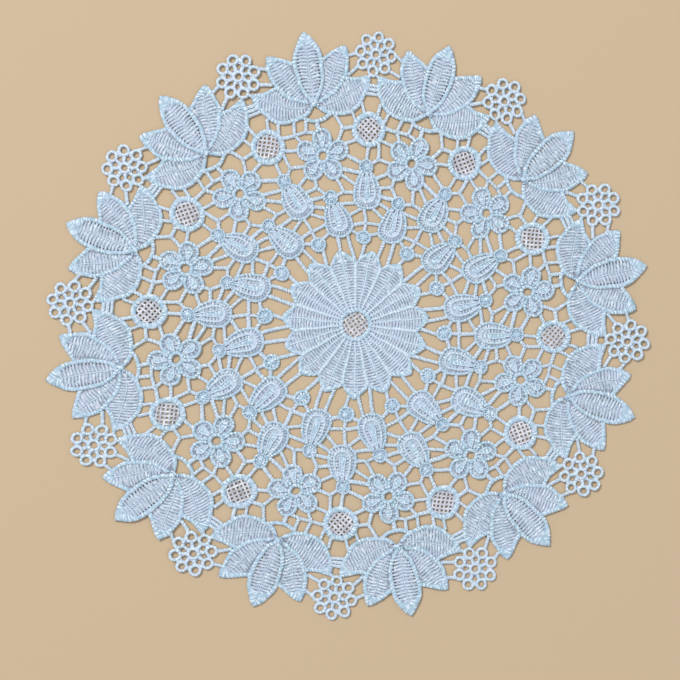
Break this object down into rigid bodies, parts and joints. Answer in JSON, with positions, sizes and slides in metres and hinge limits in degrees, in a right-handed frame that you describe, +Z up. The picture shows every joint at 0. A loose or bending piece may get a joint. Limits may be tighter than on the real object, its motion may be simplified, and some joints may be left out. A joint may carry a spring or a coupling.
{
  "type": "lace doily",
  "caption": "Round openwork lace mat with a ladder-stitched rosette, teardrops, flowers, net discs and a rim of lotus flowers and linked rings, for lying flat on a table.",
  "frame": {"origin": "middle of the rosette, on the underside that lies on the table", "axes": "+Z up out of the lace's face; +Y towards the top of the mat, the first lotus flower pointing 101 degrees anticlockwise from +X"},
  "size_m": [0.3021, 0.2941, 0.0016],
  "materials": {
    "lace": "matte pale blue satin-stitched yarn"
  },
  "bodies": {
    "root": {"doily": "lace"}
  },
  "joints": []
}
